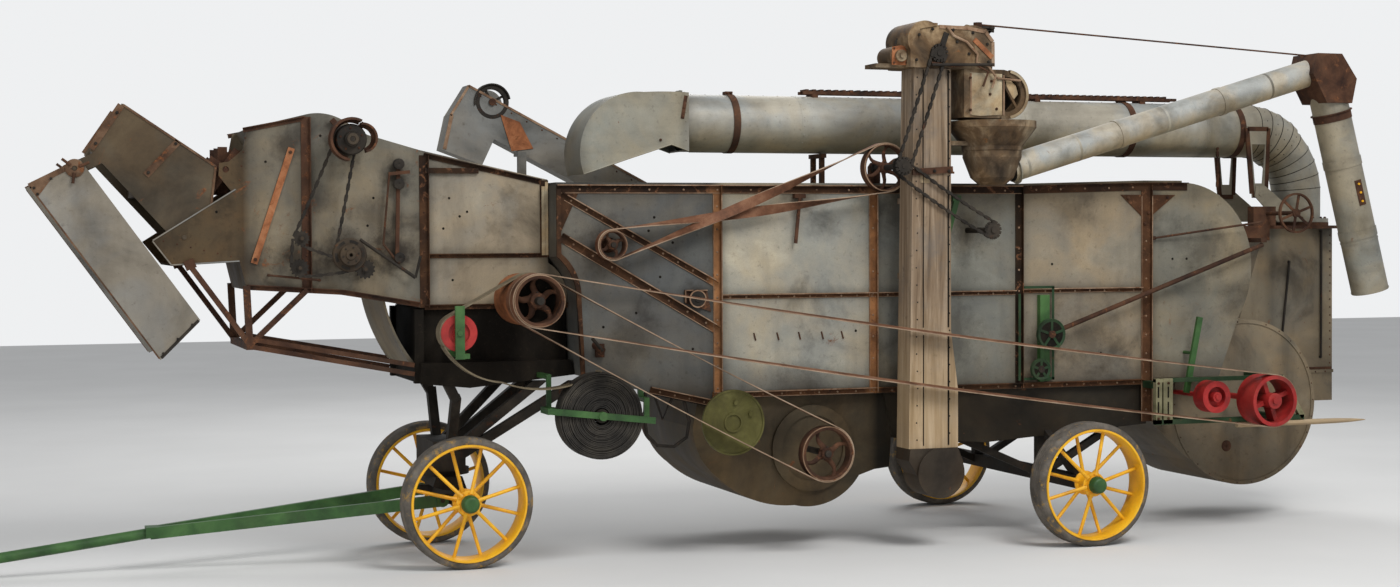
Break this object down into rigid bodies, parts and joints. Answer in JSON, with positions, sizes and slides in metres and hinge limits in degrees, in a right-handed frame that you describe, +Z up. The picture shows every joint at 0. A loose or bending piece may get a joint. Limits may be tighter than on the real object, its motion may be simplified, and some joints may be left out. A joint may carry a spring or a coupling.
{
  "type": "threshing machine",
  "caption": "Mobile threshing machine: sheet steel body on spoked wheels with folding feeder, swinging straw pipe, grain elevator and loader spout, and a tongue.",
  "frame": {"origin": "centre of the bounding box, on the ground", "axes": "+X to the rear (straw fan end), -Y the belt side, +Z up"},
  "size_m": [10.932, 2.704, 3.6342],
  "materials": {
    "canvas_belt": "worn",
    "dark_steel": "worn",
    "galvanised": "worn",
    "green_paint": "worn",
    "grey_tyre": "worn",
    "leather": "worn",
    "old_wood": "worn",
    "olive_paint": "worn",
    "red_paint": "worn",
    "rubber_belt": "worn",
    "rusty_steel": "worn",
    "yellow_paint": "worn"
  },
  "bodies": {
    "machine": {"band_cutter": "rusty_steel", "belt_roll": "rubber_belt", "body_shell": "galvanised", "cleaning_fan": "galvanised", "control_rods": "rusty_steel", "cylinder_house": "galvanised", "cylinder_trough": "dark_steel", "drive_belt": "canvas_belt", "drive_chains": "dark_steel", "elevator_boot": "galvanised", "elevator_head": "old_wood", "elevator_leg": "old_wood", "feeder_drive": "rusty_steel", "feeder_frame": "rusty_steel", "feeder_house": "galvanised", "front_legs": "dark_steel", "grain_hopper": "galvanised", "green_bars": "green_paint", "leather_belts": "leather", "olive_disc": "olive_paint", "platform_frame": "olive_paint", "rear_axle": "dark_steel", "red_pulleys": "red_paint", "rusty_pulleys": "rusty_steel", "shoe_housing": "galvanised", "side_frames": "rusty_steel", "stacker_base": "rusty_steel", "straw_fan": "galvanised", "tailings_elevator": "galvanised"},
    "steer_axle": {"front_axle": "dark_steel"},
    "drawbar": {"tongue": "green_paint"},
    "wheel_fn": {"wheel_front_near": "yellow_paint", "tyre_front_near": "grey_tyre"},
    "wheel_ff": {"wheel_front_far": "yellow_paint", "tyre_front_far": "grey_tyre"},
    "wheel_rn": {"wheel_rear_near": "yellow_paint", "tyre_rear_near": "grey_tyre"},
    "wheel_rf": {"wheel_rear_far": "yellow_paint", "tyre_rear_far": "grey_tyre"},
    "carrier_in": {"inner_carrier": "galvanised"},
    "carrier_out": {"outer_carrier": "galvanised"},
    "turntable": {"stacker_elbow": "galvanised"},
    "stacker": {"straw_pipe": "galvanised", "upper_bend": "galvanised", "pipe_rack": "rusty_steel"},
    "hood": {"straw_hood": "galvanised"},
    "loader": {"loader_tube": "galvanised", "loader_bowl": "galvanised", "loader_head": "rusty_steel", "drop_pipe": "galvanised"}
  },
  "joints": [
    {"name": "front_axle_steer", "type": "hinge", "parent": "machine", "child": "steer_axle", "pos_m": [-1.644, 0, 0.58], "axis": [0, 0, 1], "range_deg": [-30, 30]},
    {"name": "tongue_pitch", "type": "hinge", "parent": "steer_axle", "child": "drawbar", "pos_m": [-1.709, 0, 0.415], "axis": [0, 1, 0], "range_deg": [0, 20]},
    {"name": "wheel_fn_spin", "type": "hinge", "parent": "steer_axle", "child": "wheel_fn", "pos_m": [-1.604, -0.613, 0.43], "axis": [0, 1, 0], "continuous": true},
    {"name": "wheel_ff_spin", "type": "hinge", "parent": "steer_axle", "child": "wheel_ff", "pos_m": [-1.604, 0.613, 0.43], "axis": [0, 1, 0], "continuous": true},
    {"name": "wheel_rn_spin", "type": "hinge", "parent": "machine", "child": "wheel_rn", "pos_m": [2.679, -1.195, 0.43], "axis": [0, 1, 0], "continuous": true},
    {"name": "wheel_rf_spin", "type": "hinge", "parent": "machine", "child": "wheel_rf", "pos_m": [2.679, 1.195, 0.43], "axis": [0, 1, 0], "continuous": true},
    {"name": "feeder_inner", "type": "hinge", "parent": "machine", "child": "carrier_in", "pos_m": [-3.364, 0, 2.17], "axis": [0, -1, 0], "range_deg": [0, 52]},
    {"name": "feeder_outer", "type": "hinge", "parent": "carrier_in", "child": "carrier_out", "pos_m": [-4.024, 0, 2.6], "axis": [0, 1, 0], "range_deg": [0, 162.6]},
    {"name": "stacker_swing", "type": "hinge", "parent": "machine", "child": "turntable", "pos_m": [5.216, 0, 2.26], "axis": [0, 0, -1], "range_deg": [0, 180]},
    {"name": "stacker_raise", "type": "hinge", "parent": "turntable", "child": "stacker", "pos_m": [4.726, 0, 2.47], "axis": [0, 1, 0], "range_deg": [0, 30]},
    {"name": "hood_tilt", "type": "hinge", "parent": "stacker", "child": "hood", "pos_m": [0.086, 0, 3.179], "axis": [0, 1, 0], "range_deg": [0, 40]},
    {"name": "loader_swing", "type": "hinge", "parent": "machine", "child": "loader", "pos_m": [2.076, -0.9, 2.77], "axis": [0, 0, -1], "range_deg": [0, 100]}
  ],
  "couplings": [
    {"joint": "feeder_outer", "follows": "feeder_inner", "ratio": 3.1269}
  ]
}
